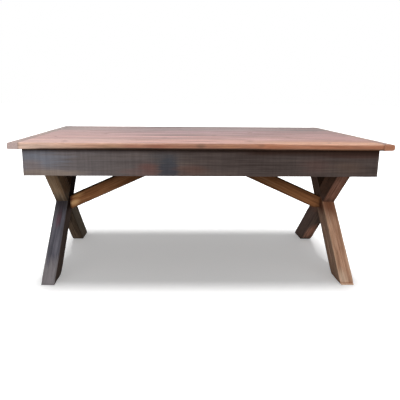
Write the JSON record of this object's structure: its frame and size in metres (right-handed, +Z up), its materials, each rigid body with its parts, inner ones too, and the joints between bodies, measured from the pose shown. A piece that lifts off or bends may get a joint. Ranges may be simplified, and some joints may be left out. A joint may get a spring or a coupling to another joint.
{
  "type": "sawbuck table",
  "caption": "Rectangular plank dining table with breadboard ends and a deep apron, on half-lapped X-shaped trestles with diagonal braces to the middle.",
  "frame": {"origin": "on the floor under the middle of the tabletop", "axes": "+X along the table to the right seen from the front, +Y to the back, +Z up"},
  "size_m": [1.81, 1, 0.762],
  "materials": {
    "top_boards": "reclaimed planks under a satin varnish, worn pale at the edges",
    "breadboard_ends": "reclaimed board, satin varnish, greyed",
    "apron_boards": "dark weathered board, waxed, blue-grey to dark brown",
    "leg_beams": "weathered timber, waxed, grey to tan",
    "braces": "orange-brown timber, waxed",
    "inner_wood": "plain sawn softwood",
    "pegs": "hardwood dowel",
    "bolts": "zinc-plated steel"
  },
  "bodies": {
    "root": {"apron_back": "apron_boards", "apron_buttons": "inner_wood", "apron_front": "apron_boards", "apron_left": "apron_boards", "apron_right": "apron_boards", "barrel_nuts": "bolts", "brace_left": "braces", "brace_right": "braces", "brace_screws": "bolts", "breadboard_end_left": "breadboard_ends", "breadboard_end_right": "breadboard_ends", "breadboard_pegs_left": "pegs", "breadboard_pegs_right": "pegs", "button_screws": "bolts", "centre_batten": "inner_wood", "cleat_bolts": "bolts", "cleat_nuts": "bolts", "cleat_washers": "bolts", "corner_block_back_left": "inner_wood", "corner_block_back_right": "inner_wood", "corner_block_front_left": "inner_wood", "corner_block_front_right": "inner_wood", "crossing_bolts": "bolts", "leg_back_left": "leg_beams", "leg_back_right": "leg_beams", "leg_cleat_left": "inner_wood", "leg_cleat_right": "inner_wood", "leg_front_left": "leg_beams", "leg_front_right": "leg_beams", "plank_1": "top_boards", "plank_2": "top_boards", "plank_3": "top_boards", "plank_4": "top_boards", "plank_5": "top_boards", "plank_6": "top_boards", "top_screws": "bolts"}
  },
  "joints": []
}
